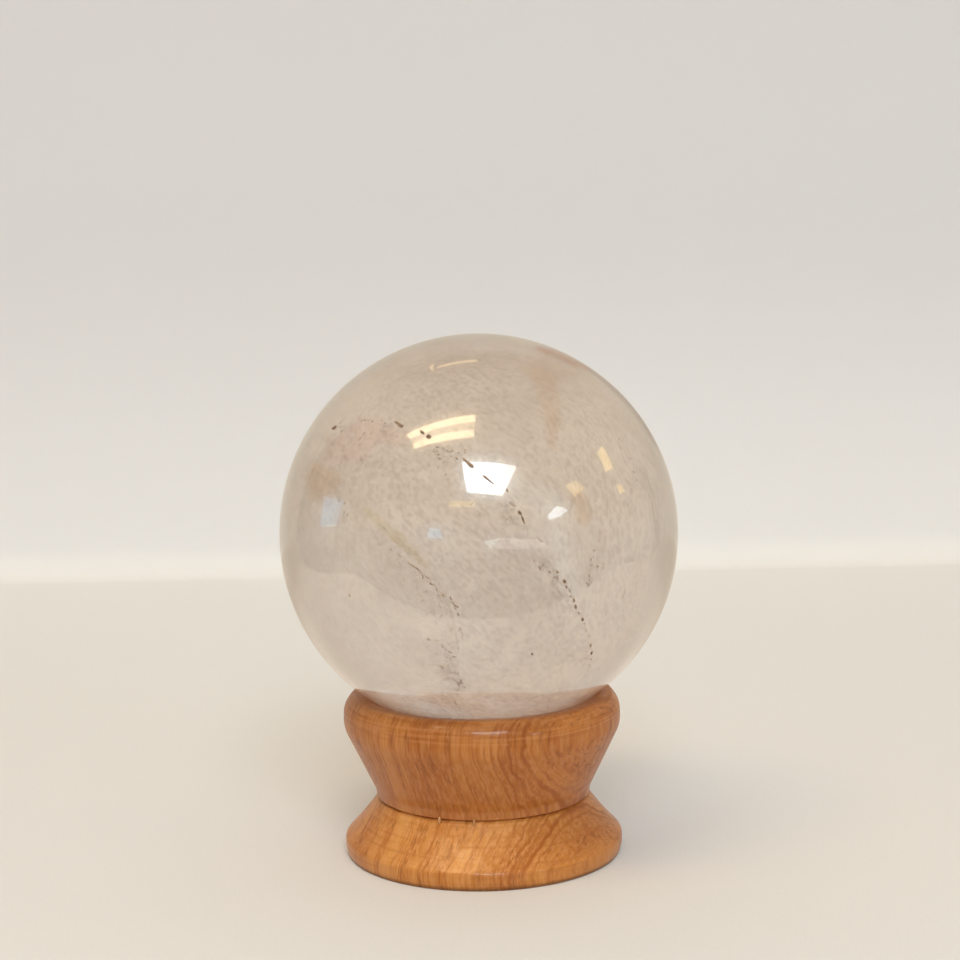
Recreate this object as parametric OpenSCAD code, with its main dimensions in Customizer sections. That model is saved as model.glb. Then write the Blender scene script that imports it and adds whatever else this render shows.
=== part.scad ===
// Polished quartz sphere on its own turned wooden stand.
// Frame: +Z up, origin in the middle of the face that the stand rests on.

/* [Sphere] */
// Diameter of the quartz sphere
sphere_d = 80; // [50:1:120]

/* [Seat] */
// Angle, from straight down, at which the mouth of the seat meets the sphere
seat_angle = 35.5; // [28:0.5:50]
// Clearance between the sphere and the land that it sits on
seat_gap = 0.1; // [0.05:0.05:0.5]
// Width of the land, along the sphere
seat_land_w = 4; // [2:0.5:8]
// Extra depth of the hollow inside the land, so that the sphere sits on the land alone
seat_relief = 1.5; // [0.5:0.25:3]

/* [Cup] */
// Height of the mouth of the seat, where the stand comes up against the sphere
mouth_z = 32.5; // [27:0.1:44]
// Width of the lip, from the mouth of the seat out to the widest point of the cup
lip_w = 4.9; // [3:0.1:8]
// Height of the lip, from the widest point of the cup up to the mouth
lip_h = 6.1; // [4.5:0.1:8]
// How far the rounded edge round the lip lies below the mouth
lip_edge = 2.1; // [1.5:0.1:3.5]
// How far the crest of the lip stands above the mouth
lip_crest = 0.25; // [0:0.05:0.8]
// How far the crest lies inside the widest point
lip_crest_inset = 1.9; // [1:0.1:2.5]
// Height of the upright ring at the bottom of the cup, above the groove
cup_foot_h = 1.3; // [0.8:0.1:3]
// Diameter of the cup just above the groove
cup_foot_d = 43.6; // [32:0.1:50]

/* [Foot] */
// Widest diameter of the foot
foot_d = 56.6; // [50:0.1:80]
// Height of the upright band round the foot
foot_band_h = 3.4; // [2:0.1:6]
// How far the band draws in at the bottom
foot_tuck = 0.4; // [0.1:0.05:1]
// Diameter of the foot where it meets the groove
foot_neck_d = 43.4; // [32:0.1:48]
// Depth of the hollow curve between the band and the groove
foot_hollow = 0.25; // [0.05:0.05:0.6]

/* [Groove] */
// Height of the middle of the groove
groove_z = 11.7; // [9:0.1:16]
// Width of the groove at its mouth
groove_w = 0.9; // [0.4:0.1:1.6]
// Depth of the groove
groove_depth = 0.7; // [0.3:0.1:1.5]

/* [Hidden] */

QUARTZ = [0.86, 0.79, 0.73, 0.6];
WOOD = [0.74, 0.43, 0.2];
ROUND_FN = 180;
// Straight steps in each rounded corner and in the hollow curve of the foot
CORNER_STEPS = 6;
HOLLOW_STEPS = 8;
// Radii of the sanded corners
SHARP_R = 0.3;
EDGE_R = 1.2;
CREST_R = 1.8;
LIP_R = 4;
SHOULDER_R = 6;
CUP_FOOT_R = 5;
BAND_R = 1.2;
// Draft of the faces that look upright
DRAFT = 0.15;
// How far the blank runs in past the mouth, where the seat is cut out of it
OVERCUT = 1;

seat_r = sphere_d / 2 + seat_gap;
mouth_r = seat_r * sin(seat_angle);
sphere_z = mouth_z + seat_r * cos(seat_angle);
land_angle = seat_angle - seat_land_w / seat_r * 180 / PI;
hollow_r = seat_r * sin(land_angle);
cup_r = mouth_r + lip_w;

// A corner of an outline, rounded: points on an arc of radius r that touches the lines a-b and b-c.
// The radius is limited to what half of the shorter line can take.
function rounded_corner(a, b, c, r) =
    let (
        to_a = (a - b) / norm(a - b),
        to_c = (c - b) / norm(c - b),
        half = acos(to_a * to_c) / 2,
        reach = min(r / tan(half), min(norm(a - b), norm(c - b)) * 0.49),
        radius = reach * tan(half),
        middle = (to_a + to_c) / norm(to_a + to_c),
        centre = b + middle * radius / sin(half),
        start = b + to_a * reach - centre,
        finish = b + to_c * reach - centre,
        turn = 180 - 2 * half
    )
    [
        for (i = [0 : CORNER_STEPS])
        let (t = i / CORNER_STEPS)
        centre + (start * sin((1 - t) * turn) + finish * sin(t * turn)) / sin(turn)
    ];

// An outline given as [x, y, corner radius], with its corners rounded. The first and last stay sharp.
function rounded_outline(points) = [
    for (i = [0 : len(points) - 1])
    let (p = [points[i].x, points[i].y])
    if (points[i].z == 0)
        p
    else
        each rounded_corner(
            [points[i - 1].x, points[i - 1].y],
            p,
            [points[i + 1].x, points[i + 1].y],
            points[i].z
        )
];

// Points on a shallow hollow arc from a to b, sunk by depth at its middle, without its two ends.
function hollow_arc(a, b, depth) =
    let (
        along = b - a,
        inward = [-along.y, along.x] / norm(along)
    )
    [
        for (i = [1 : HOLLOW_STEPS - 1])
        let (t = i / HOLLOW_STEPS)
        a + along * t + inward * depth * 4 * t * (1 - t)
    ];

// Outline of the foot, up to the bottom of the groove
function foot_outline() =
    let (
        band_top = [foot_d / 2, foot_band_h],
        neck = [foot_neck_d / 2, groove_z - groove_w / 2]
    )
    [
        [foot_d / 2 - foot_tuck, 0, SHARP_R],
        [foot_d / 2, foot_band_h / 2, EDGE_R],
        [band_top.x, band_top.y, BAND_R],
        for (p = hollow_arc(band_top, neck, foot_hollow)) [p.x, p.y, 0],
        [neck.x, neck.y, 0],
        [foot_neck_d / 2 - groove_depth, groove_z, 0]
    ];

// Outline of the cup, from the groove over the crest of the lip to a flat top that the seat cuts away.
// From the crest it runs straight down past the mouth, so that the seat crosses it there.
function cup_outline() =
    let (
        foot_z = groove_z + groove_w / 2,
        fall = lip_crest / (lip_w - lip_crest_inset),
        blank_z = mouth_z - OVERCUT * fall
    )
    [
        [cup_foot_d / 2, foot_z, 0],
        [cup_foot_d / 2 + DRAFT, foot_z + cup_foot_h, CUP_FOOT_R],
        [cup_r, mouth_z - lip_h, SHOULDER_R],
        [cup_r - DRAFT, mouth_z - lip_edge, LIP_R],
        [cup_r - lip_crest_inset, mouth_z + lip_crest, CREST_R],
        [mouth_r - OVERCUT, blank_z, 0],
        [0, blank_z, 0]
    ];

module seat_cut() {
    translate([0, 0, sphere_z])
        sphere(r = seat_r, $fn = ROUND_FN);
    intersection() {
        translate([0, 0, sphere_z])
            sphere(r = seat_r + seat_relief, $fn = ROUND_FN);
        cylinder(h = sphere_z, r = hollow_r, $fn = ROUND_FN);
    }
}

module quartz_sphere() {
    color(QUARTZ)
        translate([0, 0, sphere_z])
        sphere(d = sphere_d, $fn = ROUND_FN);
}

module wooden_stand() {
    color(WOOD)
        difference() {
            rotate_extrude($fn = ROUND_FN)
                polygon(rounded_outline(concat([[0, 0, 0]], foot_outline(), cup_outline())));
            seat_cut();
        }
}

quartz_sphere();
wooden_stand();
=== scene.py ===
"""Looks of a polished quartz sphere on its wooden stand, in metres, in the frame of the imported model."""

import math
import random

import bmesh
import bpy
from mathutils import Matrix, Vector


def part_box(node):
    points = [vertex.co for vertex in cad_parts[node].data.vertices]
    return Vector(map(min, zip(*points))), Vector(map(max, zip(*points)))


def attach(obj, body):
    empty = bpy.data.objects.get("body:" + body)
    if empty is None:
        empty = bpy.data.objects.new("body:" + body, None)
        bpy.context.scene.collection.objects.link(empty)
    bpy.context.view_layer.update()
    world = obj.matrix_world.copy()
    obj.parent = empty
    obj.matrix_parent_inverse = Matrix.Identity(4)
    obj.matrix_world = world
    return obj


# --- The frame, and where the object is in it -------------------------------------------------------

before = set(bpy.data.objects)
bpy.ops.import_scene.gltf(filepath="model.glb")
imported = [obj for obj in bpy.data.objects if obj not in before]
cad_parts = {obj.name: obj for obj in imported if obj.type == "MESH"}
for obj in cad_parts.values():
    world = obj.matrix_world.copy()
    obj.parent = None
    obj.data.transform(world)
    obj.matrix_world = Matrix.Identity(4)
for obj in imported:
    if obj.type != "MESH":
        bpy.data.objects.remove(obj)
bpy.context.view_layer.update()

SPHERE_LOW, SPHERE_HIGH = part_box("quartz_sphere")
STAND_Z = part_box("wooden_stand")[0].z
CENTRE = (SPHERE_LOW + SPHERE_HIGH) / 2
RADIUS = (SPHERE_HIGH.z - SPHERE_LOW.z) / 2


def pointing(azimuth, elevation):
    """A direction, in degrees from -Y towards +X and up from level."""
    a, e = math.radians(azimuth), math.radians(elevation)
    return Vector((math.sin(a) * math.cos(e), -math.cos(a) * math.cos(e), math.sin(e)))


def on_stone(azimuth, elevation, depth=0.0):
    """The point of the stone in a direction from its middle, depth below its skin."""
    return CENTRE + pointing(azimuth, elevation) * (RADIUS - depth)


# --- Camera -----------------------------------------------------------------------------------------

CAMERA_DISTANCE = 0.3611
CAMERA_HEIGHT = 0.1178
CAMERA_PITCH = math.radians(-6.64)
CAMERA_YAW = math.radians(0.07)
CAMERA_ROLL = math.radians(-1.0)
CAMERA_LENS_MM = 67.8
CAMERA_SENSOR_MM = 36
CAMERA_CLIP = (0.01, 20)


def make_camera():
    """The camera, in front of the object and looking a little down on it."""
    data = bpy.data.cameras.new("camera")
    data.lens = CAMERA_LENS_MM
    data.sensor_width = CAMERA_SENSOR_MM
    data.clip_start, data.clip_end = CAMERA_CLIP
    camera = bpy.data.objects.new("camera", data)
    bpy.context.scene.collection.objects.link(camera)
    upright = Matrix.Rotation(math.pi / 2 + CAMERA_PITCH, 4, "X")
    turned = Matrix.Rotation(-CAMERA_YAW, 4, "Z") @ upright @ Matrix.Rotation(CAMERA_ROLL, 4, "Z")
    camera.matrix_world = Matrix.Translation((0, -CAMERA_DISTANCE, CAMERA_HEIGHT)) @ turned
    bpy.context.scene.camera = camera


# --- Small helpers ----------------------------------------------------------------------------------


def new_material(name):
    """An empty node material and its node tree."""
    material = bpy.data.materials.new(name)
    material.use_nodes = True
    material.node_tree.nodes.clear()
    return material, material.node_tree


def feed(tree, socket, value):
    """Link the value to the socket if it is a socket too, and otherwise set it."""
    if isinstance(value, bpy.types.NodeSocket):
        tree.links.new(value, socket)
    else:
        socket.default_value = value


def node(tree, kind, **inputs):
    """A new node. Names of inputs are given with _ for a space, and values as numbers or sockets."""
    made = tree.nodes.new(kind)
    for name, value in inputs.items():
        feed(tree, made.inputs[name.replace("_", " ")], value)
    return made


def math_node(tree, operation, *values):
    """The output of a new Math node. Each value is a number or a socket."""
    made = tree.nodes.new("ShaderNodeMath")
    made.operation = operation
    for socket, value in zip(made.inputs, values):
        feed(tree, socket, value)
    return made.outputs[0]


def mapped(tree, value, low, high, to_low=0.0, to_high=1.0):
    """A smooth step of value, from to_low at low to to_high at high. Low may be the larger of the two.

    A constant whose name ends in STEP holds these numbers, without the last two if they are 0 and 1.
    """
    made = node(tree, "ShaderNodeMapRange", Value=value)
    made.interpolation_type = "SMOOTHSTEP"
    limits = (low, high, to_low, to_high)
    for name, limit in zip(("From Min", "From Max", "To Min", "To Max"), limits):
        made.inputs[name].default_value = limit
    return made.outputs["Result"]


def vector_math(tree, operation, first, second):
    """The output of a new Vector Math node on two vectors, or for SCALE on a vector and a number."""
    made = tree.nodes.new("ShaderNodeVectorMath")
    made.operation = operation
    feed(tree, made.inputs[0], first)
    feed(tree, made.inputs["Scale" if operation == "SCALE" else 1], second)
    return made.outputs["Value" if operation in ("DOT_PRODUCT", "DISTANCE") else "Vector"]


def mixed(tree, share, first, second, blend="MIX"):
    """A mix of two colours, each a tuple of three or a socket, with share of the second."""
    made = tree.nodes.new("ShaderNodeMix")
    made.data_type = "RGBA"
    made.blend_type = blend
    for socket, value in zip((made.inputs[0], made.inputs[6], made.inputs[7]), (share, first, second)):
        feed(tree, socket, (*value, 1) if isinstance(value, tuple) else value)
    return made.outputs[2]


def noise(tree, coordinates, scale, detail=2.0, roughness=0.5, distortion=0.0):
    """A noise value between 0 and 1, with scale in cells per metre."""
    made = node(
        tree,
        "ShaderNodeTexNoise",
        Vector=coordinates,
        Scale=scale,
        Detail=detail,
        Roughness=roughness,
        Distortion=distortion,
    )
    return made.outputs[0]


def object_coordinates(tree, turn=(0, 0, 0), stretch=(1, 1, 1)):
    """Metres in the frame of the model, turned by degrees about X, Y and Z, then scaled along each axis."""
    source = node(tree, "ShaderNodeTexCoord").outputs["Object"]
    turned = node(tree, "ShaderNodeMapping", Vector=source, Rotation=[math.radians(a) for a in turn])
    return node(tree, "ShaderNodeMapping", Vector=turned.outputs[0], Scale=stretch).outputs[0]


def separated(tree, vector, axis):
    """One coordinate of a vector socket."""
    return node(tree, "ShaderNodeSeparateXYZ", Vector=vector).outputs[axis]


def mesh_object(name, vertices, faces):
    """A new smooth-shaded mesh in the scene."""
    mesh = bpy.data.meshes.new(name)
    mesh.from_pydata(vertices, [], faces)
    mesh.update()
    mesh.shade_smooth()
    made = bpy.data.objects.new(name, mesh)
    bpy.context.scene.collection.objects.link(made)
    return made


# --- Stage ------------------------------------------------------------------------------------------

# The edge of the table, seen from above, which the stone mirrors. It widens towards the wall.
TABLE_EDGE = [
    (-0.19, -0.106),
    (-0.255, -0.085),
    (-0.257, 0.05),
    (-0.30, 0.15),
    (-0.53, 0.30),
    (-0.53, 0.42),
    (0.45, 0.42),
    (0.45, 0.30),
    (0.31, 0.10),
    (0.30, -0.03),
    (0.25, -0.072),
    (0.10, -0.100),
]
WALL_Y = 0.345
WALL_TURN = math.radians(1.0)
WALL_LEFT_X = -0.52
WALL_RIGHT_X = 0.42
WALL_HEIGHT = 0.42
COVE_RADIUS = 0.012
COVE_STEPS = 8
FLOOR_REACH = 3.0
FLOOR_Z = STAND_Z - 0.0005
TABLE_COLOUR = (0.765, 0.748, 0.72)
# The table is painted paler towards the wall, as painted light.
TABLE_BACK_COLOUR = (0.825, 0.818, 0.79)
# The wall's foot colour is painted bounce light from the table, and its darker top colour is painted shade.
WALL_FOOT_COLOUR = (0.825, 0.815, 0.815)
WALL_COLOUR = (0.69, 0.682, 0.692)
WALL_TOP_COLOUR = (0.58, 0.565, 0.57)
WALL_FADE_HEIGHT = 0.15
# The mirrored wall is painted paler at its foot in the same way.
MIRRORED_WALL_FOOT_COLOUR = (0.75, 0.685, 0.615)
MIRRORED_WALL_COLOUR = (0.645, 0.585, 0.52)
# A part of the wall is mirrored darker still. It lies round a point and fades out between two distances.
MIRRORED_SHADE_COLOUR = (0.49, 0.43, 0.38)
MIRRORED_SHADE_MIDDLE = (0.14, WALL_Y, 0.135)
UNSHADED_STEP = (0.04, 0.075)
# The table is mirrored in one tint near the object and in another far back. Where it is mirrored it also
# glows, more in front than behind and not at all far back. Both steps are along Y.
MIRRORED_TABLE_TINT = (1.0, 0.93, 0.87)
MIRRORED_TABLE_BACK_TINT = (0.83, 0.76, 0.69)
FAR_BACK_STEP = (0.06, 0.16)
BOOST_STEP = (-0.03, 0.02, 0.42, 0.14)
CLOTH_GRAIN_SIZE = 0.0007
CLOTH_GRAIN_STEP = (0.3, 0.7, 0.0, 0.05)
CLOTH_GRAIN_COLOUR = (0.45, 0.42, 0.38)
MATT = {"Roughness": 0.9, "Specular_IOR_Level": 0.1}


def mirrored_share(tree):
    """1 where something is mirrored, and 0 where it is looked at, seen through the stone or gives light."""
    path = node(tree, "ShaderNodeLightPath")
    return math_node(tree, "MULTIPLY", path.outputs["Is Glossy Ray"], path.outputs["Is Reflection Ray"])


def cloth_material():
    """The matt table and floor, painted paler towards the wall as painted light, and mirrored warmer than
    they are, brighter in front and darker far back.
    """
    material, tree = new_material("cloth")
    depth = separated(tree, object_coordinates(tree), "Y")
    far = mapped(tree, depth, *FAR_BACK_STEP)
    boost = math_node(
        tree,
        "MULTIPLY",
        mapped(tree, depth, *BOOST_STEP),
        math_node(tree, "SUBTRACT", 1.0, far),
    )
    # Painted light: the table grows paler towards the wall.
    colour = mixed(tree, mapped(tree, depth, 0.0, WALL_Y), TABLE_COLOUR, TABLE_BACK_COLOUR)
    grain = noise(tree, object_coordinates(tree), 1 / CLOTH_GRAIN_SIZE, roughness=0.6)
    colour = mixed(tree, mapped(tree, grain, *CLOTH_GRAIN_STEP), colour, CLOTH_GRAIN_COLOUR)
    mirrored_tint = mixed(tree, far, MIRRORED_TABLE_TINT, MIRRORED_TABLE_BACK_TINT)
    colour = mixed(tree, mirrored_share(tree), colour, mirrored_tint, "MULTIPLY")
    surface = node(
        tree,
        "ShaderNodeBsdfPrincipled",
        Base_Color=colour,
        Emission_Color=(*TABLE_COLOUR, 1),
        Emission_Strength=math_node(tree, "MULTIPLY", mirrored_share(tree), boost),
        **MATT,
    )
    node(tree, "ShaderNodeOutputMaterial", Surface=surface.outputs[0])
    return material


def wall_material():
    """The matt wall behind, painted paler towards its foot as bounce light and darker towards its top as
    shade, and mirrored warmer and darker than it is.
    """
    material, tree = new_material("backdrop")
    height = separated(tree, object_coordinates(tree), "Z")
    risen = mapped(tree, height, 0.0, WALL_FADE_HEIGHT)
    # Painted bounce light at the foot of the wall, and painted shade towards its top.
    colour = mixed(tree, risen, WALL_FOOT_COLOUR, WALL_COLOUR)
    colour = mixed(tree, mapped(tree, height, WALL_FADE_HEIGHT, WALL_HEIGHT), colour, WALL_TOP_COLOUR)
    colour = mixed(tree, mapped(tree, height, 0.0, COVE_RADIUS), TABLE_BACK_COLOUR, colour)
    mirrored_colour = mixed(tree, risen, MIRRORED_WALL_FOOT_COLOUR, MIRRORED_WALL_COLOUR)
    aside = vector_math(tree, "DISTANCE", object_coordinates(tree), MIRRORED_SHADE_MIDDLE)
    unshaded = mapped(tree, aside, *UNSHADED_STEP)
    mirrored_colour = mixed(tree, unshaded, MIRRORED_SHADE_COLOUR, mirrored_colour)
    colour = mixed(tree, mirrored_share(tree), colour, mirrored_colour)
    surface = node(tree, "ShaderNodeBsdfPrincipled", Base_Color=colour, **MATT)
    node(tree, "ShaderNodeOutputMaterial", Surface=surface.outputs[0])
    return material


def stage_piece(name, vertices, faces, material):
    """A piece of the stage, which is no part of the model."""
    made = mesh_object(name, vertices, faces)
    made.data.materials.append(material)
    return made


def make_wall():
    """A strip whose side view is a cove and an upright line, turned about Z where it meets the table."""
    steps = [math.pi / 2 * i / COVE_STEPS for i in range(COVE_STEPS + 1)]
    cove_y = WALL_Y - COVE_RADIUS
    outline = [(cove_y + COVE_RADIUS * math.sin(t), COVE_RADIUS * (1 - math.cos(t))) for t in steps]
    outline.append((WALL_Y, WALL_HEIGHT))
    pivot = Vector((0, WALL_Y, 0))
    turned = Matrix.Rotation(WALL_TURN, 3, "Z")
    corners = [Vector((x, y, z)) for y, z in outline for x in (WALL_LEFT_X, WALL_RIGHT_X)]
    vertices = [turned @ (p - pivot) + pivot for p in corners]
    faces = [(2 * i, 2 * i + 1, 2 * i + 3, 2 * i + 2) for i in range(len(outline) - 1)]
    stage_piece("wall", vertices, faces, wall_material())


def make_stage():
    """The table, the wall, and a floor past the table's edge that nothing mirrors."""
    cloth = cloth_material()
    stage_piece("table", [(x, y, 0) for x, y in TABLE_EDGE], [range(len(TABLE_EDGE))], cloth)
    make_wall()
    corners = [(-FLOOR_REACH, -FLOOR_REACH), (FLOOR_REACH, -FLOOR_REACH), (FLOOR_REACH, FLOOR_REACH)]
    corners.append((-FLOOR_REACH, FLOOR_REACH))
    floor = stage_piece("floor", [(x, y, FLOOR_Z) for x, y in corners], [(0, 1, 2, 3)], cloth)
    floor.visible_glossy = False


# --- Light ------------------------------------------------------------------------------------------

# Each lit panel is a window or lamp as the stone mirrors it: its corners, given in degrees as azimuth
# from -Y towards +X and elevation, then its colour and its strength.
DAYLIGHT = (0.80, 0.92, 1.0)
SKYLIGHT = (0.25, 0.62, 1.0)
TUBE = (1.0, 0.74, 0.44)
LAMP = (1.0, 0.72, 0.28)
WARM = (1.0, 0.85, 0.75)
PALE = (1.0, 0.95, 0.95)
PANELS = {
    "window": ([(-11.5, 47), (20, 44.7), (12, 27.8), (-7, 30)], DAYLIGHT, 13.0),
    "window_side": ([(20, 44.7), (28, 42.8), (15, 27.5), (12, 27.8)], PALE, 9.0),
    "upper_tube": (
        [(-69, 54), (-52, 67), (-30, 74), (-2.5, 76.5), (-2, 72), (-35, 67), (-62, 53)],
        TUBE,
        10.0,
    ),
    "lower_tube": (
        [(-57, 51.5), (-40, 60.5), (-3.5, 66.5), (-3, 62), (-36, 56.5), (-53, 49.5)],
        TUBE,
        10.0,
    ),
    "tube_tray": ([(-61, 53), (-35, 67), (-2, 72), (-3.5, 66.5), (-40, 60.5), (-57, 51.5)], TUBE, 3.0),
    "back_tube": ([(-157, 57), (179, 57.5), (179, 60), (-155, 59)], TUBE, 2.7),
    "back_tube_end": ([(-159, 53), (-155, 57), (-151, 60), (-154, 55)], TUBE, 2.7),
    "left_window": ([(-101, 12.5), (-85, 14.5), (-86.5, 4.5), (-100, 1.5)], SKYLIGHT, 1.7),
    "left_window_sill": ([(-99, 5.5), (-86.5, 7), (-87, 4), (-100, 1.5)], DAYLIGHT, 3.8),
    "left_window_side": ([(-101, 12.5), (-98.5, 13), (-98.5, 2), (-100, 1.5)], DAYLIGHT, 3.0),
    "far_window": ([(-28, 10), (-21, 10), (-20, 5), (-28, 5)], SKYLIGHT, 3.5),
    "low_window": ([(2, 3.5), (12, 5), (34, 2.5), (38, -1.5), (22, -1.5), (6, -0.5)], PALE, 1.9),
    "low_window_end": ([(2, 3.5), (12, 5), (20, 2), (16, 0), (6, -0.5)], DAYLIGHT, 4.0),
    "right_window": ([(39.5, 14.5), (46, 18.5), (53, 15.5), (47, 13), (40, 12)], DAYLIGHT, 7.0),
    "shade": ([(55, 27), (63, 28), (68, 23), (59, 21)], LAMP, 3.2),
    "right_lamp": ([(91, 33), (99, 33), (95, 24), (88, 25)], LAMP, 4.0),
    "small_lamp": ([(91, 18), (95, 17), (96, 14), (91, 14)], LAMP, 3.5),
    "side_lamp": ([(75, 16.5), (76.5, 14), (73, 13), (71, 15)], WARM, 1.6),
    "far_lamp": ([(-17, 25), (-2, 25), (-2, 22), (-17, 22)], LAMP, 3.0),
    "middle_lamp": ([(22, 21.5), (32, 20), (32, 19), (22, 20.5)], LAMP, 1.5),
}
# Dim parts of the room, which the stone mirrors behind the lit panels.
ROOM_SHADE = (1.0, 0.93, 0.84)
DIM_PANELS = {
    "left_room": (
        [(-66, -16), (-66, 20), (-72, 38), (-118, 36), (-127, 14), (-127, -16)],
        ROOM_SHADE,
        0.34,
    ),
    "right_corner": ([(117, -12), (117, 16), (123, 12), (124, -12)], ROOM_SHADE, 0.35),
    "ceiling_recess": (
        [(-142, 50), (-164, 51), (173, 50.5), (178, 62), (-150, 66), (-136, 59)],
        ROOM_SHADE,
        0.52,
    ),
}
PANEL_DISTANCE = 1.6
DIM_PANEL_DISTANCE = 2.3
CEILING_SIZE = 3.0
CEILING_Z = 1.8
CEILING_POWER = 10.5
CEILING_COLOUR = (1.0, 0.97, 0.93)
ROOM_COLOUR = (1.0, 0.95, 0.88)
MIRRORED_ROOM_COLOUR = (1.0, 0.90, 0.80)
ROOM_GLOW = 0.3
# The room is mirrored brighter at the back than in front. This changes between two values of a direction's Y.
MIRRORED_FRONT_GLOW = 0.35
MIRRORED_BACK_GLOW = 0.66
MIRRORED_GLOW_Y = (-0.6, 0.3)
BACKDROP_GLOW = 0.66


def light_panel(name, corners, colour, strength, distance):
    """A lit panel that is mirrored and gives light, and is not seen directly or through the stone."""
    material, tree = new_material(name)
    glow = node(tree, "ShaderNodeEmission", Color=(*colour, 1), Strength=strength)
    node(tree, "ShaderNodeOutputMaterial", Surface=glow.outputs[0])
    vertices = [CENTRE + pointing(*corner) * distance for corner in corners]
    made = stage_piece(name, vertices, [range(len(vertices))], material)
    made.visible_camera = False
    made.visible_transmission = False


def make_lights():
    """The panels, and a broad soft light overhead that is not mirrored."""
    for name, (corners, colour, strength) in PANELS.items():
        light_panel(name, corners, colour, strength, PANEL_DISTANCE)
    for name, (corners, colour, strength) in DIM_PANELS.items():
        light_panel(name, corners, colour, strength, DIM_PANEL_DISTANCE)
    data = bpy.data.lights.new("ceiling", "AREA")
    data.size = CEILING_SIZE
    data.energy = CEILING_POWER
    data.color = CEILING_COLOUR
    ceiling = bpy.data.objects.new("ceiling", data)
    bpy.context.scene.collection.objects.link(ceiling)
    ceiling.location = (0, 0, CEILING_Z)
    ceiling.visible_camera = False
    ceiling.visible_glossy = False
    ceiling.visible_transmission = False


def make_world():
    """A dim room where it gives light, brighter where it is mirrored, and a pale backdrop to look at."""
    world = bpy.data.worlds.new("studio")
    bpy.context.scene.world = world
    world.use_nodes = True
    tree = world.node_tree
    tree.nodes.clear()
    path = node(tree, "ShaderNodeLightPath")
    seen = math_node(tree, "MAXIMUM", path.outputs["Is Camera Ray"], path.outputs["Is Transmission Ray"])
    backward = separated(tree, node(tree, "ShaderNodeTexCoord").outputs["Generated"], "Y")
    added = (MIRRORED_FRONT_GLOW - ROOM_GLOW, MIRRORED_BACK_GLOW - ROOM_GLOW)
    mirrored = mapped(tree, backward, *MIRRORED_GLOW_Y, *added)
    glow = math_node(tree, "MULTIPLY_ADD", mirrored_share(tree), mirrored, ROOM_GLOW)
    glow = math_node(tree, "MULTIPLY_ADD", seen, BACKDROP_GLOW - ROOM_GLOW, glow)
    colour = mixed(tree, mirrored_share(tree), ROOM_COLOUR, MIRRORED_ROOM_COLOUR)
    back = node(tree, "ShaderNodeBackground", Color=colour, Strength=glow)
    node(tree, "ShaderNodeOutputWorld", Surface=back.outputs[0])


# --- Stone ------------------------------------------------------------------------------------------

QUARTZ_IOR = 1.544
QUARTZ_ROUGHNESS = 0.2
# The light that the stone lets through to its shadow.
SHADOW_TINT = (0.42, 0.37, 0.32)
STONE_PALE = (0.808, 0.710, 0.620)
STONE_DULL = (0.76, 0.655, 0.566)
# Clouds make the stone duller and less clear.
CLOUD_SIZE = 0.012
CLOUD_STEP = (0.35, 0.7)
CLEAR_STEP = (0.3, 0.75, 0.88, 0.81)
# Fine flecks and a coarser mottle: how wide and long they are in metres, how much lighter or darker they
# make the stone, and how many degrees they lean. Between two X the fine ones turn from slanted to steep.
FLECK_SIZE = (0.0007, 0.0015)
FLECK_STEP = (0.46, 0.64, 0.0425, -0.17)
SLANTED_LEAN = 42
STEEP_LEAN = 14
STEEP_X_STEP = (0.0, 0.02)
MOTTLE_SIZE = (0.0022, 0.00352)
MOTTLE_STEP = (0.35, 0.65, -0.04, 0.04)
MOTTLE_LEAN = 30
# Both are fainter past the lower fracture and stronger just above the seat. The first changes between two
# distances from that fracture, in shares of the radius, and the second between two Z.
PAST_VEIL_SPAN = (-0.1, 0.08)
PAST_VEIL_STRENGTH = 0.6
NEAR_SEAT_STEP = (STAND_Z + 0.0400, STAND_Z + 0.0375, 0.0, 1.4)
# A noise makes the edges of stains ragged: a fine one for those that fade out within RAGGED_FADE
# millimetres, and a broad one for the rest. It shifts an edge by up to RAGGEDNESS times that distance, and
# FADE_SPAN is where the fade then begins and ends, in the same measure.
RAGGED_SIZES = (0.0013, 0.003)
RAGGED_FADE = 3.2
RAGGEDNESS = 1.4
FADE_SPAN = (-0.7, 0.3)

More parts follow.
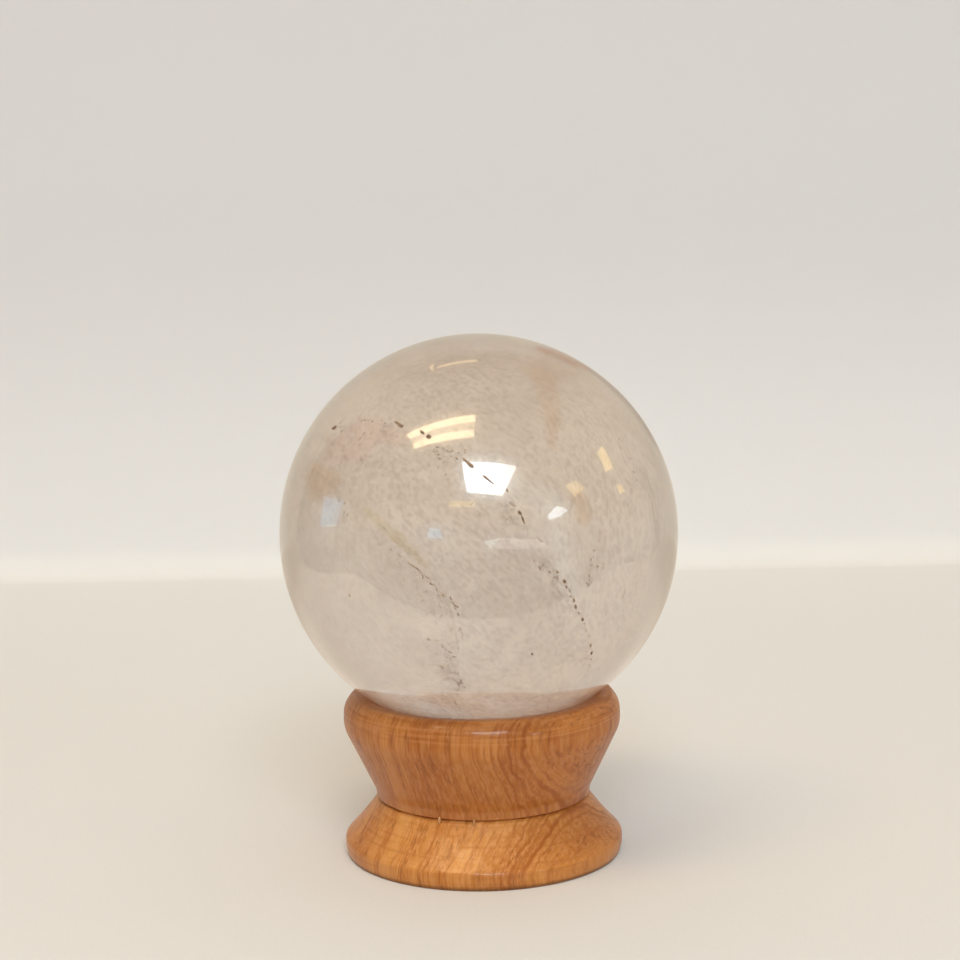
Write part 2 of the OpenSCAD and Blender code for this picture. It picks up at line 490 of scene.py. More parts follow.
# Stains run between two points of the skin, each given as azimuth, elevation and half its width there in
# millimetres. Then come how far it fades out, in millimetres, its colour and its strength.
RUST = (0.38, 0.085, 0.012)
ROSE = (0.80, 0.57, 0.47)
RUDDY = (0.70, 0.47, 0.35)
TAN = (0.70, 0.47, 0.30)
OLIVE = (0.72, 0.59, 0.40)
SMOKE = (0.60, 0.50, 0.42)
MILK = (0.97, 0.93, 0.90)
STAINS = [
    ((-46, 63, 0.8), (3, 73, 1.2), 2.4, MILK, 0.25),
    ((3, 73, 1.2), (54, 58, 0.8), 2.4, MILK, 0.25),
    ((-22, 62.5, 1.0), (18, 63.5, 1.0), 3.0, SMOKE, 0.2),
    ((-25, 50, 1.2), (-2, 50.5, 1.4), 3.5, MILK, 0.18),
    ((-2, 50.5, 1.4), (24, 51.5, 1.4), 3.5, MILK, 0.22),
    ((-38, -47, 2.5), (0, -48.5, 2.5), 2.5, MILK, 0.85),
    ((0, -48.5, 2.5), (40, -47.5, 2.5), 2.5, MILK, 0.9),
    ((61, 66, 1.6), (71.5, 61, 3.6), 2.2, RUST, 1.0),
    ((65, 55, 0.8), (63, 50, 0.3), 2.0, OLIVE, 0.7),
    ((52, 59.5, 1.6), (34, 56, 1.5), 4.5, TAN, 0.45),
    ((33, 54, 1.0), (26.5, 39, 0.5), 2.6, TAN, 0.45),
    ((26.5, 39, 0.4), (23.5, 31, 0.1), 1.8, RUDDY, 0.5),
    ((-50, 29, 1.5), (-42, 33, 3.0), 4.0, ROSE, 0.6),
    ((-40, 35, 1.0), (-26, 34, 0.5), 2.5, ROSE, 0.5),
    ((-55, 20, 1.5), (-48, 19, 1.0), 4.0, TAN, 0.75),
    ((-60, 24, 0.1), (-44, 20.5, 0.4), 1.0, TAN, 0.5),
    ((-44, 20.5, 0.5), (-32, 13.5, 0.2), 3.0, SMOKE, 0.3),
    ((-32, 13.5, 0.1), (-21.5, 6.5, 0.8), 0.7, OLIVE, 0.7),
    ((-21.5, 6.5, 0.8), (-13.5, -0.5, 0.1), 0.7, OLIVE, 0.8),
    ((28.5, 16, 0.4), (29.5, 11, 0.6), 2.0, TAN, 0.6),
    ((10, 19, 0.5), (18, 15, 1.0), 4.0, MILK, 0.45),
    ((20, 6, 0.5), (25, -8, 0.5), 3.0, MILK, 0.5),
    ((34, 6.5, 0.2), (34, 1.5, 0.3), 1.5, SMOKE, 0.4),
    ((0, 12, 2.0), (13, 6, 3.0), 5.0, SMOKE, 0.25),
    ((-20, -5, 2.0), (4, -8, 4.0), 9.0, SMOKE, 0.25),
    ((8, -14, 5.0), (12, -42, 7.0), 12.0, SMOKE, 0.3),
    ((-13.5, -24, 0.4), (-8, -33, 0.6), 2.0, SMOKE, 0.45),
    ((-12.5, -32, 0.3), (-6, -37, 0.7), 1.6, SMOKE, 0.6),
    ((-18, -43.5, 0.8), (-2, -48, 1.4), 3.0, TAN, 0.4),
    ((12, -46, 0.8), (30, -44, 0.8), 4.0, SMOKE, 0.25),
]


def smear(tree, start, finish, fade, ragged):
    """1 near the line between two points of the skin, fading to 0 at an edge that a noise makes ragged."""
    first, last = on_stone(*start[:2]), on_stone(*finish[:2])
    line = last - first
    offset = vector_math(tree, "SUBTRACT", object_coordinates(tree), first)
    share = vector_math(tree, "DOT_PRODUCT", offset, line / line.length_squared)
    share = math_node(tree, "MINIMUM", math_node(tree, "MAXIMUM", share, 0.0), 1.0)
    distance = vector_math(tree, "DISTANCE", offset, vector_math(tree, "SCALE", line, share))
    half_width = math_node(tree, "MULTIPLY_ADD", share, (finish[2] - start[2]) / 1000, start[2] / 1000)
    outside = math_node(tree, "SUBTRACT", distance, half_width)
    edge = math_node(tree, "MULTIPLY_ADD", ragged, -RAGGEDNESS * fade / 1000, outside)
    span = [part * fade / 1000 for part in FADE_SPAN]
    return mapped(tree, edge, *span, 1.0, 0.0)


def flecks(tree, lean, size):
    """Noise of slender cells, as wide and long as size, which lean by degrees towards -X at their tops."""
    width, length = size
    place = object_coordinates(tree, (0, lean, 0), (1 / width, 1 / width, 1 / length))
    return noise(tree, place, 1.0, roughness=0.6)


def fleck_strength(tree, place):
    """1 on most of the stone, less past the lower fracture and more just above the seat."""
    past_veil = vector_math(tree, "DOT_PRODUCT", place, facing(LOWER_VEIL) / RADIUS)
    past_veil = math_node(tree, "SUBTRACT", past_veil, CENTRE.dot(facing(LOWER_VEIL)) / RADIUS)
    span = [LOWER_VEIL["offset"] + part for part in PAST_VEIL_SPAN]
    strength = mapped(tree, past_veil, *span, 1.0, PAST_VEIL_STRENGTH)
    near_seat = mapped(tree, separated(tree, place, "Z"), *NEAR_SEAT_STEP)
    return math_node(tree, "MAXIMUM", strength, near_seat)


def fleck_shade(tree):
    """What the flecks multiply the stone's colour by. They are steep on the right and slanted on the left."""
    place = object_coordinates(tree)
    steep = mapped(tree, separated(tree, place, "X"), *STEEP_X_STEP)
    slanted = math_node(tree, "SUBTRACT", 1.0, steep)
    slanted = math_node(tree, "MULTIPLY", flecks(tree, SLANTED_LEAN, FLECK_SIZE), slanted)
    fine = math_node(tree, "MULTIPLY_ADD", flecks(tree, STEEP_LEAN, FLECK_SIZE), steep, slanted)
    coarse = flecks(tree, MOTTLE_LEAN, MOTTLE_SIZE)
    shade = math_node(tree, "ADD", mapped(tree, fine, *FLECK_STEP), mapped(tree, coarse, *MOTTLE_STEP))
    return math_node(tree, "MULTIPLY_ADD", shade, fleck_strength(tree, place), 1.0)


def quartz_material():
    """Cloudy and stained stone, a little rough inside, under a clear polished skin."""
    material, tree = new_material("quartz")
    clouds = noise(tree, object_coordinates(tree), 1 / CLOUD_SIZE, 5.0, 0.6, 0.8)
    tint = mixed(tree, mapped(tree, clouds, *CLOUD_STEP), STONE_PALE, STONE_DULL)
    fine, broad = (noise(tree, object_coordinates(tree), 1 / size, 4.0, 0.65) for size in RAGGED_SIZES)
    for start, finish, fade, colour, strength in STAINS:
        share = smear(tree, start, finish, fade, fine if fade < RAGGED_FADE else broad)
        tint = mixed(tree, math_node(tree, "MULTIPLY", share, strength), tint, colour)
    tint = mixed(tree, 1.0, tint, fleck_shade(tree), "MULTIPLY")
    surface = node(
        tree,
        "ShaderNodeBsdfPrincipled",
        Base_Color=tint,
        Roughness=QUARTZ_ROUGHNESS,
        IOR=QUARTZ_IOR,
        Transmission_Weight=mapped(tree, clouds, *CLEAR_STEP),
        Coat_Weight=1.0,
        Coat_Roughness=0.0,
        Coat_IOR=QUARTZ_IOR,
    )
    clear = node(tree, "ShaderNodeBsdfTransparent", Color=(*SHADOW_TINT, 1))
    path = node(tree, "ShaderNodeLightPath")
    mix = node(tree, "ShaderNodeMixShader", Fac=path.outputs["Is Shadow Ray"])
    tree.links.new(surface.outputs[0], mix.inputs[1])
    tree.links.new(clear.outputs[0], mix.inputs[2])
    node(tree, "ShaderNodeOutputMaterial", Surface=mix.outputs[0])
    return material


# --- Wood -------------------------------------------------------------------------------------------

# The blank was cut so that its growth rings face this way about Z, and its fibres run upright.
RING_TURN = 35
WOOD_PALE = (0.525, 0.20, 0.046)
WOOD_MIDDLE = (0.44, 0.140, 0.027)
WOOD_DARK = (0.30, 0.078, 0.012)
WOOD_PORE = (0.22, 0.065, 0.014)
# A pinkish tone for the wood's mottle, also used for the painted sheen on the lip.
WOOD_BLUSH_AND_LIP_SHEEN = (0.58, 0.25, 0.09)
# Noises of the wood, as wood_grain takes them: the sizes of their cells in metres, through the rings, along
# them and up the fibres, and for some then their detail, roughness and distortion.
WOOD_NOISES = {
    "bands": (0.0030, 0.030, 0.060, 2.0, 0.6, 0.3),
    "lines": (0.00048, 0.0090, 0.020, 2.0, 0.6, 0.3),
    "breaks": (0.0025, 0.008, 0.013),
    "fibres": (0.00035, 0.0015, 0.006),
    "pores": (0.00045, 0.0018, 0.0055, 2.0, 0.6),
    "patches": (0.014, 0.020, 0.030),
    "mottle": (0.0008, 0.0012, 0.0045, 3.0, 0.65),
}
BAND_STEP = (0.38, 0.62)
EARLY_WOOD_STEP = (0.44, 0.60)
LINE_STEP = (0.46, 0.64)
LINE_BREAK_STEP = (0.38, 0.58, 0.1, 0.6)
LATE_BREAK_STEP = (0.35, 0.55, 0.55, 1.0)
FIBRE_STEP = (0.35, 0.70, 0.0, 0.35)
PORE_STEP = (0.53, 0.66, 0.0, 0.6)
PATCH_STEP = (0.45, 0.75, 0.0, 0.6)
BLUSH_STEP = (0.40, 0.65, 0.0, 0.4)
# The lathe left fine rings round the foot and the lip: noise of so many cells in a metre along X, Y and Z,
# whose relief is LATHE_DEPTH times that of the pores.
LATHE_CELLS = (60, 60, 1700)
LATHE_DEPTH = 0.3
# On the lip the pale rings are a painted sheen laid along the lathe marks.
LIP_PALE_STEP = (0.48, 0.66, 0.0, 0.35)
LIP_DARK_STEP = (0.50, 0.36, 0.0, 0.35)
FOOT_DARK_STEP = (0.50, 0.72, 0.0, 0.3)
LIP_Z_STEP = (STAND_Z + 0.0278, STAND_Z + 0.0290)
FOOT_TOP_Z = STAND_Z + 0.0117
# A painted sheen makes the foot palest round this X, and darker to both sides of it and on the upright band
# at its bottom.
FOOT_PAINTED_SHEEN_X = -0.005
FOOT_SIDE_STEP = (0.006, 0.024)
FOOT_BAND_Z_STEP = (STAND_Z + 0.0030, STAND_Z + 0.0042, 0.7, 0.0)
FOOT_PAINTED_SHEEN_TONE = (1.35, 1.58, 1.70)
FOOT_SIDE_TONE = (1.06, 1.08, 0.98)
# A painted contact shadow darkens the edge that the foot stands on.
PAINTED_CONTACT_SHADOW_Z_STEP = (STAND_Z + 0.0003, STAND_Z + 0.0011, 1.0, 0.0)
PAINTED_CONTACT_SHADOW_TINT = (0.42, 0.40, 0.38)
LACQUER_STEP = (0.3, 0.7, 0.42, 0.55)
# Rings of late wood which stand out: their distance through the rings and half their width, both in
# millimetres, and their strength. They wander by up to half of RING_WANDER to either side, and fade in
# between two distances from their middles, which are RING_FADE times half their width.
LATE_RINGS = [
    (-7.1, 0.15, 0.35),
    (-0.8, 0.15, 0.5),
    (4.3, 0.22, 0.7),
    (6.2, 0.18, 0.4),
    (9.9, 0.15, 0.4),
    (12.2, 0.15, 0.45),
    (14.4, 0.15, 0.45),
    (17.4, 0.18, 0.45),
    (18.5, 0.18, 0.7),
    (19.8, 0.22, 0.8),
    (20.6, 0.14, 0.55),
    (21.7, 0.26, 0.9),
    (22.8, 0.18, 0.5),
]
RING_WANDER = 0.0022
RING_WANDER_NOISE = (0.005, 0.005, 0.006, 3.0, 0.6)
RING_FADE = (1.7, 0.3)


def wood_grain(tree, ring, across, upright, detail=2.0, roughness=0.5, distortion=0.0):
    """Noise with cells of these sizes, in metres: through the rings, along them and up the fibres."""
    place = object_coordinates(tree, (0, 0, RING_TURN), (1 / ring, 1 / across, 1 / upright))
    return noise(tree, place, 1.0, detail, roughness, distortion)


def late_rings(tree):
    """1 in the rings of late wood which stand out, and 0 away from them."""
    through_rings = separated(tree, object_coordinates(tree, (0, 0, RING_TURN)), "X")
    wander = math_node(tree, "SUBTRACT", wood_grain(tree, *RING_WANDER_NOISE), 0.5)
    place = math_node(tree, "MULTIPLY_ADD", wander, RING_WANDER, through_rings)
    share = 0.0
    for distance, half_width, strength in LATE_RINGS:
        apart = math_node(tree, "ABSOLUTE", math_node(tree, "SUBTRACT", place, distance / 1000))
        span = [times * half_width / 1000 for times in RING_FADE]
        share = math_node(tree, "MAXIMUM", share, mapped(tree, apart, *span, 0.0, strength))
    return share


def sawn_colour(tree, noises):
    """The colour of the sawn wood: bands, patches, broken dark lines, pale fibres and rings of late wood."""
    breaks = noises["breaks"]
    late_wood = math_node(tree, "MULTIPLY", late_rings(tree), mapped(tree, breaks, *LATE_BREAK_STEP))
    lines = mapped(tree, noises["lines"], *LINE_STEP)
    broken_lines = math_node(tree, "MULTIPLY", lines, mapped(tree, breaks, *LINE_BREAK_STEP))
    colour = mixed(tree, mapped(tree, noises["bands"], *BAND_STEP), WOOD_PALE, WOOD_MIDDLE)
    colour = mixed(tree, mapped(tree, noises["patches"], *PATCH_STEP), colour, WOOD_DARK)
    colour = mixed(tree, broken_lines, colour, WOOD_DARK)
    colour = mixed(tree, mapped(tree, noises["fibres"], *FIBRE_STEP), colour, WOOD_PALE)
    colour = mixed(tree, mapped(tree, noises["mottle"], *BLUSH_STEP), colour, WOOD_BLUSH_AND_LIP_SHEEN)
    return mixed(tree, late_wood, colour, WOOD_DARK)


def with_lathe_marks_and_lip_sheen(tree, colour, height, foot, lathe):
    """The colour with the marks of the lathe, on the lip and on the foot, and a painted sheen in the pale
    rings on the lip.
    """
    lip = mapped(tree, height, *LIP_Z_STEP)
    # Painted sheen: the pale rings on the lip.
    pale = math_node(tree, "MULTIPLY", mapped(tree, lathe, *LIP_PALE_STEP), lip)
    colour = mixed(tree, pale, colour, WOOD_BLUSH_AND_LIP_SHEEN)
    dark = math_node(tree, "MULTIPLY", mapped(tree, lathe, *LIP_DARK_STEP), lip)
    colour = mixed(tree, dark, colour, WOOD_DARK)
    dark_foot = math_node(tree, "MULTIPLY", mapped(tree, lathe, *FOOT_DARK_STEP), foot)
    return mixed(tree, dark_foot, colour, WOOD_DARK)


def with_foot_tones(tree, colour, height, foot):
    """The colour, paler on the foot and most so near its middle as a painted sheen, and dark on its lowest
    edge as a painted contact shadow.
    """
    sideways = math_node(tree, "SUBTRACT", separated(tree, object_coordinates(tree), "X"), FOOT_PAINTED_SHEEN_X)
    side = mapped(tree, math_node(tree, "ABSOLUTE", sideways), *FOOT_SIDE_STEP)
    side = math_node(tree, "MAXIMUM", side, mapped(tree, height, *FOOT_BAND_Z_STEP))
    # Painted sheen: the foot is lightened most near its middle, and less at its sides and on its band.
    tone = mixed(tree, side, FOOT_PAINTED_SHEEN_TONE, FOOT_SIDE_TONE)
    colour = mixed(tree, foot, colour, tone, "MULTIPLY")
    # Painted contact shadow along the foot's lowest edge.
    return mixed(tree, mapped(tree, height, *PAINTED_CONTACT_SHADOW_Z_STEP), colour, PAINTED_CONTACT_SHADOW_TINT, "MULTIPLY")


def wood_material():
    """Open-grained wood under a thin lacquer, with shallow pores and marks of the lathe."""
    material, tree = new_material("lacquered_wood")
    noises = {name: wood_grain(tree, *cells) for name, cells in WOOD_NOISES.items()}
    lathe = noise(tree, object_coordinates(tree, stretch=LATHE_CELLS), 1.0, roughness=0.6)
    height = separated(tree, object_coordinates(tree), "Z")
    foot = math_node(tree, "LESS_THAN", height, FOOT_TOP_Z)
    early_wood = mapped(tree, noises["bands"], *EARLY_WOOD_STEP)
    pores = math_node(tree, "MULTIPLY", mapped(tree, noises["pores"], *PORE_STEP), early_wood)
    colour = with_lathe_marks_and_lip_sheen(tree, sawn_colour(tree, noises), height, foot, lathe)
    colour = with_foot_tones(tree, mixed(tree, pores, colour, WOOD_PORE), height, foot)
    relief = math_node(tree, "MULTIPLY_ADD", pores, -1.0, math_node(tree, "MULTIPLY", lathe, LATHE_DEPTH))
    bump = node(tree, "ShaderNodeBump", Height=relief, Strength=0.35, Distance=0.00006)
    surface = node(
        tree,
        "ShaderNodeBsdfPrincipled",
        Base_Color=colour,
        Roughness=mapped(tree, noises["fibres"], *LACQUER_STEP),
        Specular_IOR_Level=0.14,
        Coat_Weight=0.3,
        Coat_Roughness=0.09,
        Coat_IOR=1.5,
        Normal=bump.outputs[0],
        Coat_Normal=bump.outputs[0],
    )
    node(tree, "ShaderNodeOutputMaterial", Surface=surface.outputs[0])
    return material


# --- What is inside the stone -----------------------------------------------------------------------

# Two healed fractures cross the stone, up to SKIN under its skin. Each is a plane at a share of the radius
# from the middle, facing azimuth and elevation in degrees, with a gentle wave of some lobes round its rim.
SKIN = 0.0004
UPPER_VEIL = {"azimuth": -43, "elevation": -30, "offset": 0.382, "wave": 0.026, "lobes": 3, "phase": 5}
LOWER_VEIL = {"azimuth": -56, "elevation": -24, "offset": 0.70, "wave": 0.027, "lobes": 4, "phase": 60}
VEIL_RINGS = 20
VEIL_STEPS = 96
FILM_COLOUR = (0.50, 0.40, 0.32)
FILM_DENSITY = 0.35
# The film is thin up to FILM_INNER of the way from its middle to its rim, and from there it thickens.
# Its patches and pits are noises, given as cells in a metre, detail, roughness and distortion.
FILM_INNER = 0.45
FILM_SHARES = (0.15, 1.0)
FILM_PATCHES = (90, 4.0, 0.6, 1.0)
FILM_PATCH_STEP = (0.42, 0.62)
FILM_PITS = (900, 2.0, 0.6)
FILM_PIT_STEP = (0.48, 0.62, 0.25, 1.0)


def facing(veil):
    """The direction that a healed fracture faces."""
    return (on_stone(veil["azimuth"], veil["elevation"]) - CENTRE).normalized()


def veil_point(veil, angle, reach=1.0):
    """A point of a healed fracture, at an angle in degrees round its middle. Reach 1 is at the skin."""
    normal = facing(veil)
    level = Vector((0, 0, 1)).cross(normal).normalized()
    rising = normal.cross(level)
    turn = math.radians(angle)
    wave = veil["wave"] * reach**2 * math.cos(veil["lobes"] * (turn - math.radians(veil["phase"])))
    height = veil["offset"] + wave
    rim = math.sqrt(1 - height**2)
    spoke = level * math.cos(turn) + rising * math.sin(turn)
    return CENTRE + (normal * height + spoke * rim * reach) * (RADIUS - SKIN)


def veil_sheet(name, veil, material):
    """The healed fracture itself: one thin curved sheet that ends just under the skin."""
    vertices = [veil_point(veil, 0, 0)]
    for ring in range(1, VEIL_RINGS + 1):
        reach = ring / VEIL_RINGS
        vertices += [veil_point(veil, 360 * i / VEIL_STEPS, reach) for i in range(VEIL_STEPS)]
    faces = [(0, 1 + i, 1 + (i + 1) % VEIL_STEPS) for i in range(VEIL_STEPS)]
    for ring in range(VEIL_RINGS - 1):
        start = 1 + ring * VEIL_STEPS
        for i in range(VEIL_STEPS):
            j = (i + 1) % VEIL_STEPS
            faces.append((start + i, start + VEIL_STEPS + i, start + VEIL_STEPS + j, start + j))
    sheet = mesh_object(name, vertices, faces)
    finish_inclusion(sheet, material)


def finish_inclusion(piece, material):
    """Give a piece inside the stone its material and its place in the model."""
    piece.data.materials.append(material)
    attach(piece, "root")


def veil_material(name, veil):
    """A film of tiny healed pits: thin at its middle, thicker towards its rim, and patchy."""
    material, tree = new_material(name)
    place = object_coordinates(tree)
    apart = vector_math(tree, "DISTANCE", place, veil_point(veil, 0, 0))
    rim = RADIUS * math.sqrt(1 - veil["offset"] ** 2)
    near_rim = mapped(tree, apart, FILM_INNER * rim, rim, *FILM_SHARES)
    patches = mapped(tree, noise(tree, place, *FILM_PATCHES), *FILM_PATCH_STEP)
    pits = mapped(tree, noise(tree, place, *FILM_PITS), *FILM_PIT_STEP)
    share = math_node(tree, "MULTIPLY", math_node(tree, "MULTIPLY", patches, pits), near_rim)
    surface = node(
        tree,
        "ShaderNodeBsdfPrincipled",
        Base_Color=(*FILM_COLOUR, 1),
        Roughness=0.8,
        Alpha=math_node(tree, "MULTIPLY", share, FILM_DENSITY),
    )
    node(tree, "ShaderNodeOutputMaterial", Surface=surface.outputs[0])
    return material


def grain_material(name, colour, darker):
    """Small grains, which differ between one colour and a darker one."""
    material, tree = new_material(name)
    shade = mapped(tree, noise(tree, object_coordinates(tree), GRAIN_CELLS), *GRAIN_SHADE_STEP)
    surface = node(
        tree,
        "ShaderNodeBsdfPrincipled",
        Base_Color=mixed(tree, shade, colour, darker),
        Roughness=0.6,
    )
    node(tree, "ShaderNodeOutputMaterial", Surface=surface.outputs[0])
    return material


def ball_template(levels):
    """Vertices and faces of a ball of radius 1: 20 faces at level 1, and four times as many each level up."""
    shape = bmesh.new()
    bmesh.ops.create_icosphere(shape, subdivisions=levels, radius=1)
    vertices = [v.co.copy() for v in shape.verts]
    faces = [tuple(v.index for v in f.verts) for f in shape.faces]
    shape.free()
    return vertices, faces


def spindle(middle, along, length, width, thickness):
    """The transform that turns a ball of radius 1 into a spindle round middle, flat towards the skin."""
    out = (middle - CENTRE).normalized()
    lengthwise = (along - out * along.dot(out)).normalized()
    across = out.cross(lengthwise)
    axes = Matrix((lengthwise * length / 2, across * width / 2, out * thickness / 2)).transposed()
    return Matrix.Translation(middle) @ axes.to_4x4()


def many(name, transforms, levels, material, lumpy=0.0, draw=None):
    """One piece that holds a ball for each transform, with its points moved in or out by up to lumpy."""
    ball, triangles = ball_template(levels)
    vertices = []
    faces = []
    for transform in transforms:
        start = len(vertices)
        for point in ball:
            swell = 1 + draw.uniform(-lumpy, lumpy) if draw else 1
            vertices.append(transform @ (point * swell))
        faces += [tuple(start + i for i in face) for face in triangles]
    finish_inclusion(mesh_object(name, vertices, faces), material)


# Marks on the skin, most of them where the fractures reach it: azimuth, elevation, length and width in
# millimetres, and lean in degrees from upright towards -X at the top. Pits are dark, and hairs are faint.
PITS = [
    (-56.5, 35.5, 0.95, 1.4, 10),
    (-27.6, 38.1, 2.0, 0.5, 62),
    (-26.3, 37.4, 1.3, 0.7, 65),
    (-18, 35.5, 1.2, 0.5, 55),
    (-15.5, 34.2, 1.1, 0.85, 50),
    (-3.2, 27, 2.0, 0.45, 45),
    (-2, 26, 1.6, 0.75, 45),
    (2.3, 22.5, 1.6, 0.5, 50),
    (3.5, 21.5, 2.0, 0.3, 50),
    (8, 19, 0.9, 0.35, 15),
    (11, 13, 0.9, 0.6, 35),
    (11.8, 11.2, 1.7, 0.35, 20),
    (20.7, -3, 0.6, 0.4, 30),
    (22.8, -5.7, 0.9, 0.6, 30),
    (23.5, -7.2, 0.6, 0.35, 20),
    (26, -11, 0.9, 0.35, 15),
    (26.7, -13, 0.9, 0.5, 20),
    (28, -15, 0.5, 0.3, 30),
    (29.5, -17, 0.8, 0.55, 30),
    (34.7, -25.7, 0.7, 0.45, 10),
    (36.2, -28.5, 0.9, 0.5, 15),
    (15.2, -26.3, 0.7, 0.45, 10),
]
HAIRS = [
    (-17.2, -0.9, 3.0, 0.4, 58),
    (-13.8, -3.6, 1.4, 0.25, 50),
    (-22.8, 5.8, 3.0, 0.2, 52),
    (-9.7, -8.3, 0.8, 0.6, 30),
    (-7.2, -10.4, 0.8, 0.3, 25),
    (-5.9, -13.6, 0.8, 0.35, 10),
    (-5.2, -19.5, 1.4, 0.25, 8),
    (-7.7, -36.0, 1.4, 0.4, 60),
    (16.4, 5.5, 1.1, 0.5, 50),
    (9.3, 15.4, 1.6, 0.5, 50),
    (-38, -10, 0.8, 0.5, 80),
    (-52, 35, 1.0, 0.7, 60),
    (-44, 38.5, 0.9, 0.35, 5),
    (-41, 39, 0.9, 0.35, 10),
]
# Pits are so many millimetres thick, and hairs and flecks so many times as thick as they are wide. Depths
# under the skin are in metres, and lumps move the points of a mark in and out by a share of its size.
PIT_THICKNESS = 0.2
PIT_DEPTH = 0.00003
PIT_LUMPS = 0.1
HAIR_FLATNESS = 0.5
HAIR_DEPTH = 0.0006
HAIR_LUMPS = 0.15
FLECK_FLATNESS = 0.5
# Trails of fine flecks where cracks reach the skin: points as azimuth and elevation, then how far the
# flecks stray in millimetres, and how many lie on each millimetre.
TRAILS = [
    ([(13, 1.7), (18, -3), (22.7, -5.8), (26, -11.3), (29, -16.5), (33, -22.5)], 0.25, 1.6),
    ([(33, -22.5), (35.7, -28.4), (41, -38), (44.6, -42)], 0.3, 1.1),
    ([(-24, 4), (-19, 0), (-14.3, -4.1), (-9.9, -7.8), (-7.4, -10), (-5.9, -13.6), (-5, -21)], 0.5, 1.0),
    ([(-14.4, -21.2), (-9.8, -25), (-8.7, -28.6), (-8.6, -35), (-6.2, -40.7)], 0.8, 2.0),
    ([(-14, -30.5), (-10, -33.3), (-6.5, -37.2)], 0.7, 1.6),
    (
        [(-64.7, 28.6), (-64, 31.7), (-58.6, 36), (-53, 39.5), (-44, 39), (-33.5, 38.7), (-27.6, 38.2)],
        0.35,
        0.9,
    ),
    ([(-15.6, 31.4), (-11.4, 30.6), (-6.7, 29), (-2.8, 27.2)], 0.8, 1.8),
    ([(35.4, 7), (33, 3), (31, -2.8), (30.5, -5.5), (30.4, -8.5)], 0.5, 1.3),
    ([(31, -2.8), (33.4, -3.3), (35.7, -2.3)], 0.4, 1.6),
    ([(50.4, -21), (50.4, -24.6), (51.6, -27.8)], 0.4, 1.6),
    ([(43, -9), (43.2, -10.9), (43.6, -14.4)], 0.3, 1.0),
    ([(49.7, 37), (50.4, 30.5), (51.7, 23.8), (53.8, 18.5)], 0.6, 0.9),
    ([(-37, -37.2), (-34.6, -43.5), (-30.4, -47.4)], 0.8, 1.5),
    ([(-22, -39.7), (-13.8, -43.7), (-3, -50)], 1.2, 1.6),
    ([(20, -45), (30, -44), (38, -42)], 1.5, 1.5),
]
# Flecks of trails lie between two depths. They are between two numbers of millimetres wide, and between two
# times as long, and point along the trail give or take TRAIL_LEAN.
TRAIL_DEPTHS = (0.0002, 0.0006)
TRAIL_WIDTHS = (0.2, 0.45)
TRAIL_LENGTHS = (1, 2.5)
TRAIL_LEAN = 0.5
# Dust over the healed fractures: its name, fracture, count and seed. It thins out from the rim inwards, with
# a spread of DUST_SPREAD of the way to the middle, and lies between two shares of the way out.
DUST = [("upper_dust", UPPER_VEIL, 400, 21), ("lower_dust", LOWER_VEIL, 300, 22)]
DUST_SPREAD = 0.22
DUST_INNER = 0.05
DUST_OUTER = 0.99
DUST_WIDTHS = (0.1, 0.28)
DUST_LENGTHS = (1.5, 4)
# The mean and the spread of X, Y and Z of the way that grains of dust point.
DUST_POINTING = [(0, 0.5), (0, 0.5), (-1, 0.4)]
MARK_SEED = 11

# Colours of grains: a lighter and a darker one, which change in noise of so many cells in a metre.
GRAIN_CELLS = 1500
GRAIN_SHADE_STEP = (0.35, 0.65)
PIT_COLOURS = ((0.33, 0.21, 0.125), (0.14, 0.085, 0.05))
HAIR_COLOURS = ((0.74, 0.62, 0.52), (0.61, 0.49, 0.40))
TRAIL_COLOURS = ((0.60, 0.48, 0.38), (0.46, 0.35, 0.27))
DUST_COLOURS = ((0.66, 0.54, 0.45), (0.48, 0.37, 0.29))
SLIVER_COLOURS = ((0.66, 0.35, 0.15), (0.50, 0.23, 0.08))


def skin_mark(azimuth, elevation, length, width, lean, thickness, depth):
    """The transform of one mark, with its sizes in millimetres and its depth in metres."""
    middle = on_stone(azimuth, elevation, depth)
    upward = (on_stone(azimuth, elevation + 1, depth) - middle).normalized()
    sideways = (on_stone(azimuth + 1, elevation, depth) - middle).normalized()
    along = upward * math.cos(math.radians(lean)) - sideways * math.sin(math.radians(lean))
    return spindle(middle, along, length / 1000, width / 1000, thickness / 1000)


def trail(points, stray, density, draw):
    """The transforms of flecks strewn just under the skin, along a line between some of its points."""
    transforms = []
    for start, finish in zip(points, points[1:]):
        first, last = on_stone(*start), on_stone(*finish)
        along = last - first
        for _ in range(round(along.length * 1000 * density)):
            stray_by = Vector([draw.gauss(0, stray / 1000) for _ in range(3)])
            out = (first.lerp(last, draw.random()) + stray_by - CENTRE).normalized()
            middle = CENTRE + out * (RADIUS - draw.uniform(*TRAIL_DEPTHS))
            lean = along.normalized() + Vector([draw.gauss(0, TRAIL_LEAN) for _ in range(3)])
            width = draw.uniform(*TRAIL_WIDTHS) / 1000
            length = width * draw.uniform(*TRAIL_LENGTHS)
            transforms.append(spindle(middle, lean, length, width, width * FLECK_FLATNESS))
    return transforms


def skin_marks():
    """The pits, the hairs and the trails of flecks."""
    draw = random.Random(MARK_SEED)
    pits = [skin_mark(*pit, PIT_THICKNESS, PIT_DEPTH) for pit in PITS]
    many("pits", pits, 3, grain_material("pits", *PIT_COLOURS), PIT_LUMPS, draw)
    hairs = [skin_mark(*hair, HAIR_FLATNESS * hair[3], HAIR_DEPTH) for hair in HAIRS]
    many("hairs", hairs, 2, grain_material("hairs", *HAIR_COLOURS), HAIR_LUMPS, draw)
    flecks_of_trails = [transform for row in TRAILS for transform in trail(*row, draw)]
    many("trails", flecks_of_trails, 1, grain_material("trails", *TRAIL_COLOURS))


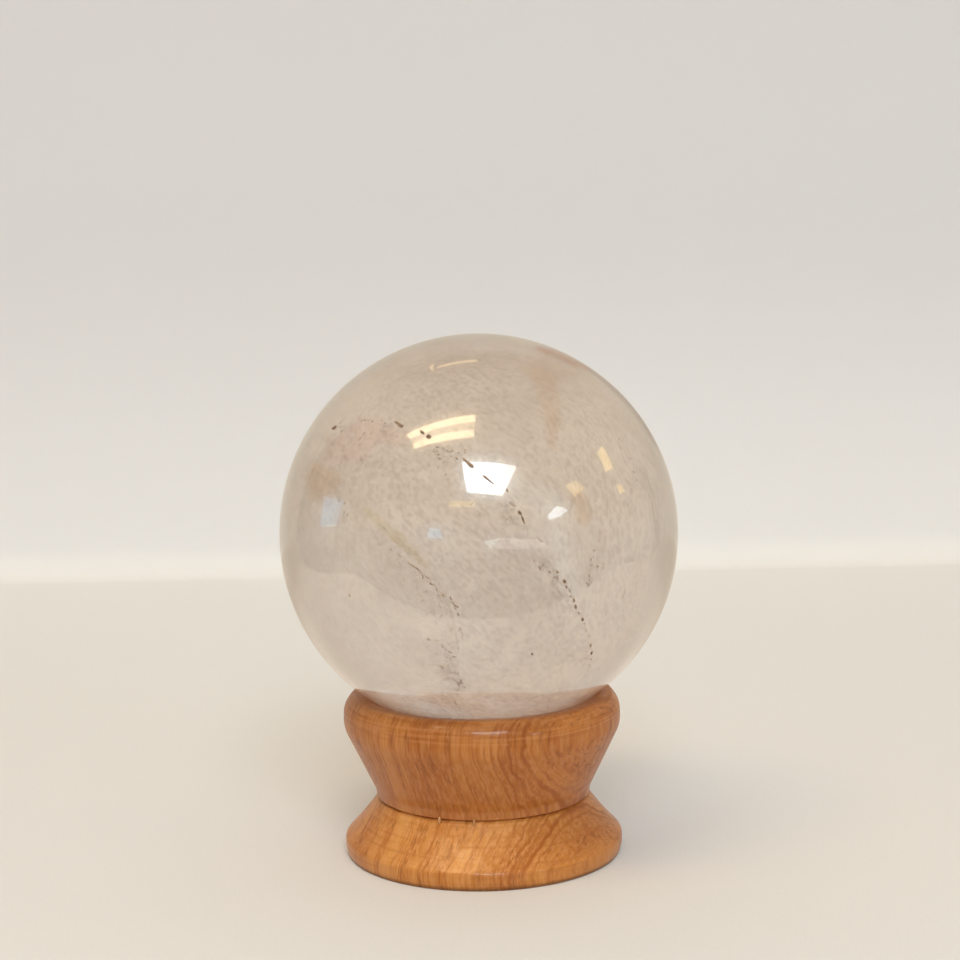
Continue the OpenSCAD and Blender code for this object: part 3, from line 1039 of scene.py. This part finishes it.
def fracture_dust(name, veil, count, seed, material):
    """Fine flecks scattered over a healed fracture, closer together towards its rim."""
    draw = random.Random(seed)
    transforms = []
    for _ in range(count):
        angle = draw.uniform(0, 360)
        reach = 1 - abs(draw.gauss(0, DUST_SPREAD))
        if reach < DUST_INNER:
            continue
        here = veil_point(veil, angle, reach * DUST_OUTER)
        along = Vector([draw.gauss(*spread) for spread in DUST_POINTING])
        width = draw.uniform(*DUST_WIDTHS) / 1000
        length = width * draw.uniform(*DUST_LENGTHS)
        transforms.append(spindle(here, along, length, width, width * FLECK_FLATNESS))
    many(name, transforms, 1, material)


def make_inclusions():
    """All that lies inside the stone or on its skin."""
    for name, veil in (("upper_veil", UPPER_VEIL), ("lower_veil", LOWER_VEIL)):
        veil_sheet(name, veil, veil_material(name, veil))
    material = grain_material("dust", *DUST_COLOURS)
    for name, veil, count, seed in DUST:
        fracture_dust(name, veil, count, seed, material)
    skin_marks()


# --- The two CAD pieces and the slivers -------------------------------------------------------------

# Slivers stand in the groove at these azimuths in degrees, so far from the axis of the stand. The shape is
# half of their size along X, Y and Z for azimuth 0.
SLIVER_AZIMUTHS = (-23.0, -4.9)
SLIVER_REACH = 0.0220
SLIVER_SHAPE = (0.00022, 0.0004, 0.0009)


def make_slivers(material):
    """Slivers of wood that the turner left standing in the groove."""
    upright = Matrix.Translation((0, -SLIVER_REACH, FOOT_TOP_Z)) @ Matrix.Diagonal((*SLIVER_SHAPE, 1))
    transforms = [Matrix.Rotation(math.radians(a), 4, "Z") @ upright for a in SLIVER_AZIMUTHS]
    ball, triangles = ball_template(2)
    vertices = [transform @ point for transform in transforms for point in ball]
    faces = [tuple(i * len(ball) + k for k in face) for i in range(len(transforms)) for face in triangles]
    slivers = mesh_object("slivers", vertices, faces)
    slivers.data.materials.append(material)
    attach(slivers, "root")


def dress(name, material):
    """Give a piece of the CAD model its material."""
    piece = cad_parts[name]
    piece.data.materials.clear()
    piece.data.materials.append(material)


# --- The whole --------------------------------------------------------------------------------------

make_camera()
make_stage()
make_lights()
make_world()
make_inclusions()
dress("quartz_sphere", quartz_material())
dress("wooden_stand", wood_material())
make_slivers(grain_material("slivers", *SLIVER_COLOURS))

scene = bpy.context.scene
scene.view_settings.view_transform = "Standard"
scene.cycles.max_bounces = 12
scene.cycles.diffuse_bounces = 3
scene.cycles.glossy_bounces = 4
scene.cycles.transmission_bounces = 8
